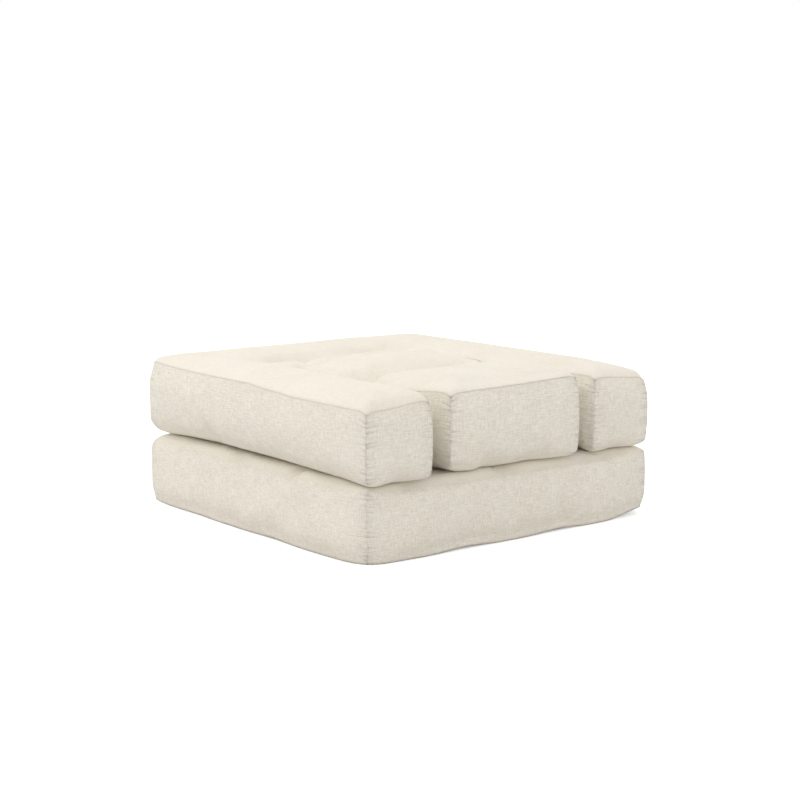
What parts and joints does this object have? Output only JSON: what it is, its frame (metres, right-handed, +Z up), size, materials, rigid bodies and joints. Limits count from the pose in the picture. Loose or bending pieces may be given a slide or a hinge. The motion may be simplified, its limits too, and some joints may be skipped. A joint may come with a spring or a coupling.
{
  "type": "ottoman chair bed",
  "caption": "Folding futon ottoman: a thick mattress folded in half, its upper half slit into two arms and a centre flap, that opens to a low chair or a bed.",
  "frame": {"origin": "middle of the folded footprint, on the floor", "axes": "+X to the right seen from the front, +Y to the back where the fold is, +Z up; the slits open to the front, -Y"},
  "size_m": [0.9, 0.95, 0.3928],
  "materials": {
    "cover_cloth": "matte natural linen and cotton weave with slubs",
    "cotton_felt": "soft unbleached cotton felt",
    "foam": "open-cell foam",
    "twine": "waxed cotton twine"
  },
  "bodies": {
    "base": {"base_cover": "cover_cloth", "base_upper_felt": "cotton_felt", "base_lower_felt": "cotton_felt", "base_foam_core": "foam", "base_tufts": "twine", "base_fold_strip": "cover_cloth"},
    "rear_block": {"rear_cover": "cover_cloth", "rear_upper_felt": "cotton_felt", "rear_lower_felt": "cotton_felt", "rear_foam_core": "foam", "rear_tufts": "twine", "rear_fold_strip": "cover_cloth", "centre_flap_fold_seam": "cover_cloth", "left_arm_fold_seam": "cover_cloth", "right_arm_fold_seam": "cover_cloth"},
    "centre_flap": {"centre_flap_cover": "cover_cloth", "centre_flap_upper_felt": "cotton_felt", "centre_flap_lower_felt": "cotton_felt", "centre_flap_foam_core": "foam", "centre_flap_tufts": "twine"},
    "left_arm": {"left_arm_cover": "cover_cloth", "left_arm_upper_felt": "cotton_felt", "left_arm_lower_felt": "cotton_felt", "left_arm_foam_core": "foam"},
    "right_arm": {"right_arm_cover": "cover_cloth", "right_arm_upper_felt": "cotton_felt", "right_arm_lower_felt": "cotton_felt", "right_arm_foam_core": "foam"}
  },
  "joints": [
    {"name": "bed_fold", "type": "hinge", "parent": "base", "child": "rear_block", "pos_m": [0, 0.4732, 0.18], "axis": [1, 0, 0], "range_deg": [-180, 0]},
    {"name": "centre_flap_fold", "type": "hinge", "parent": "rear_block", "child": "centre_flap", "pos_m": [0, 0.115, 0.39105], "axis": [-1, 0, 0], "range_deg": [0, 180]},
    {"name": "left_arm_fold", "type": "hinge", "parent": "rear_block", "child": "left_arm", "pos_m": [0, 0.115, 0.39105], "axis": [-1, 0, 0], "range_deg": [0, 180]},
    {"name": "right_arm_fold", "type": "hinge", "parent": "rear_block", "child": "right_arm", "pos_m": [0, 0.115, 0.39105], "axis": [-1, 0, 0], "range_deg": [0, 180]}
  ]
}
